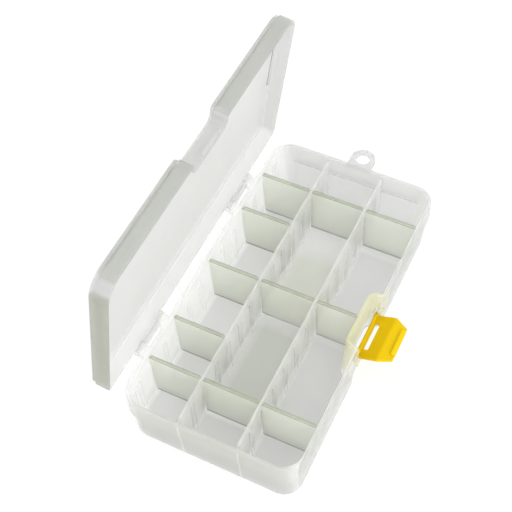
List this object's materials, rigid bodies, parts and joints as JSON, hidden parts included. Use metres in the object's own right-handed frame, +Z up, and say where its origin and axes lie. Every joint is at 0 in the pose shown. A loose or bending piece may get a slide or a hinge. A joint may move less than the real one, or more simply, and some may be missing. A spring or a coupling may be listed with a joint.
{
  "type": "tackle box",
  "caption": "Frosted see-through tackle box with a hinged lid, a yellow swing latch, loose cross dividers in moulded slots and a hang ring at one end.",
  "frame": {"origin": "middle of the tray's underside", "axes": "+Z up, +Y along the box towards the hang ring, +X towards the latch, hinges on the -X side"},
  "size_m": [0.1339, 0.2178, 0.1439],
  "materials": {
    "tray": "frosted natural polypropylene",
    "lid": "frosted natural polypropylene",
    "dividers": "frosted natural polypropylene",
    "pins": "natural plastic rod",
    "latch": "yellow satin plastic"
  },
  "bodies": {
    "tray": {"tray": "tray", "hinge_pin_far": "pins", "hinge_pin_near": "pins"},
    "lid": {"lid": "lid"},
    "latch": {"latch": "latch"},
    "divider_left_1": {"divider_left_1": "dividers"},
    "divider_left_2": {"divider_left_2": "dividers"},
    "divider_left_3": {"divider_left_3": "dividers"},
    "divider_left_4": {"divider_left_4": "dividers"},
    "divider_left_5": {"divider_left_5": "dividers"},
    "divider_middle_1": {"divider_middle_1": "dividers"},
    "divider_middle_2": {"divider_middle_2": "dividers"},
    "divider_middle_3": {"divider_middle_3": "dividers"},
    "divider_right_1": {"divider_right_1": "dividers"},
    "divider_right_2": {"divider_right_2": "dividers"},
    "divider_right_3": {"divider_right_3": "dividers"}
  },
  "joints": [
    {"name": "lid_hinge", "type": "hinge", "parent": "tray", "child": "lid", "pos_m": [-0.0559, 0, 0.03635], "axis": [0, -1, 0], "range_deg": [-81, 99]},
    {"name": "latch_hinge", "type": "hinge", "parent": "tray", "child": "latch", "pos_m": [0.0486, 0, 0.0198], "axis": [0, 1, 0], "range_deg": [-68, 62]},
    {"name": "divider_left_1_lift", "type": "slide", "parent": "tray", "child": "divider_left_1", "axis": [0, 0, 1], "range_m": [0, 0.036]},
    {"name": "divider_left_2_lift", "type": "slide", "parent": "tray", "child": "divider_left_2", "axis": [0, 0, 1], "range_m": [0, 0.036]},
    {"name": "divider_left_3_lift", "type": "slide", "parent": "tray", "child": "divider_left_3", "axis": [0, 0, 1], "range_m": [0, 0.036]},
    {"name": "divider_left_4_lift", "type": "slide", "parent": "tray", "child": "divider_left_4", "axis": [0, 0, 1], "range_m": [0, 0.036]},
    {"name": "divider_left_5_lift", "type": "slide", "parent": "tray", "child": "divider_left_5", "axis": [0, 0, 1], "range_m": [0, 0.036]},
    {"name": "divider_middle_1_lift", "type": "slide", "parent": "tray", "child": "divider_middle_1", "axis": [0, 0, 1], "range_m": [0, 0.036]},
    {"name": "divider_middle_2_lift", "type": "slide", "parent": "tray", "child": "divider_middle_2", "axis": [0, 0, 1], "range_m": [0, 0.036]},
    {"name": "divider_middle_3_lift", "type": "slide", "parent": "tray", "child": "divider_middle_3", "axis": [0, 0, 1], "range_m": [0, 0.036]},
    {"name": "divider_right_1_lift", "type": "slide", "parent": "tray", "child": "divider_right_1", "axis": [0, 0, 1], "range_m": [0, 0.036]},
    {"name": "divider_right_2_lift", "type": "slide", "parent": "tray", "child": "divider_right_2", "axis": [0, 0, 1], "range_m": [0, 0.036]},
    {"name": "divider_right_3_lift", "type": "slide", "parent": "tray", "child": "divider_right_3", "axis": [0, 0, 1], "range_m": [0, 0.036]}
  ]
}
